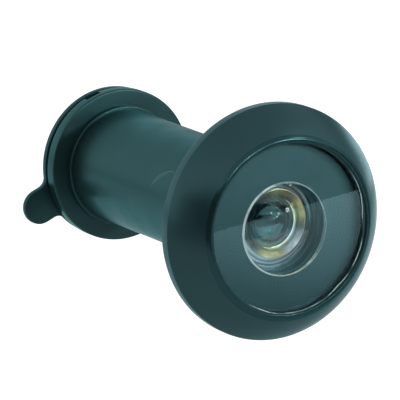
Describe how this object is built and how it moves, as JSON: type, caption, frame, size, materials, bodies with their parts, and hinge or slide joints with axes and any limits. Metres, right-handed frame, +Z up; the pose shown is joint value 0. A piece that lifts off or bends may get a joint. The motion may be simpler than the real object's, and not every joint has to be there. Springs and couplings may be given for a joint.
{
  "type": "door viewer",
  "caption": "Wide-angle door viewer: bevelled outdoor head with a lens stack, a sleeve that screws on to clamp the door, and a swinging cover over the eye hole.",
  "frame": {"origin": "centre of the head's back face, which bears on the outdoor face of the door", "axes": "+Y along the optical axis, from the outdoor head to the indoor cover; +Z up; +X to the right as seen from outdoors"},
  "size_m": [0.0282, 0.0457, 0.028],
  "materials": {
    "black_paint": "satin",
    "cover_paint": "satin",
    "brass": "machined",
    "glass": "polished",
    "black_ring": "satin",
    "black_seal": "matt",
    "spring_steel": "bright"
  },
  "bodies": {
    "housing": {"outer_housing": "black_paint", "objective_seal": "black_seal", "objective_lens": "glass", "objective_ring": "black_ring", "lens_barrel": "brass", "second_lens": "glass", "lens_spacer": "brass", "third_lens": "glass", "barrel_ring": "brass"},
    "eye_lens_slide": {"eye_lens": "glass"},
    "sleeve": {"inner_sleeve": "black_paint", "eye_ring": "brass", "cover_washer": "spring_steel", "cover_rivet": "black_ring"},
    "cover": {"privacy_cover": "cover_paint"}
  },
  "joints": [
    {"name": "sleeve_travel", "type": "slide", "parent": "housing", "child": "eye_lens_slide", "axis": [0, 1, 0], "range_m": [0, 0.01825]},
    {"name": "sleeve_screw", "type": "hinge", "parent": "eye_lens_slide", "child": "sleeve", "pos_m": [0, 0, 0], "axis": [0, 1, 0], "range_deg": [0, 6569.5]},
    {"name": "cover_swing", "type": "hinge", "parent": "sleeve", "child": "cover", "pos_m": [0.0065, 0.03905, 0.0031], "axis": [0, 1, 0], "continuous": true}
  ],
  "couplings": [
    {"joint": "sleeve_travel", "follows": "sleeve_screw", "m_per_rad": 0.00015915}
  ]
}
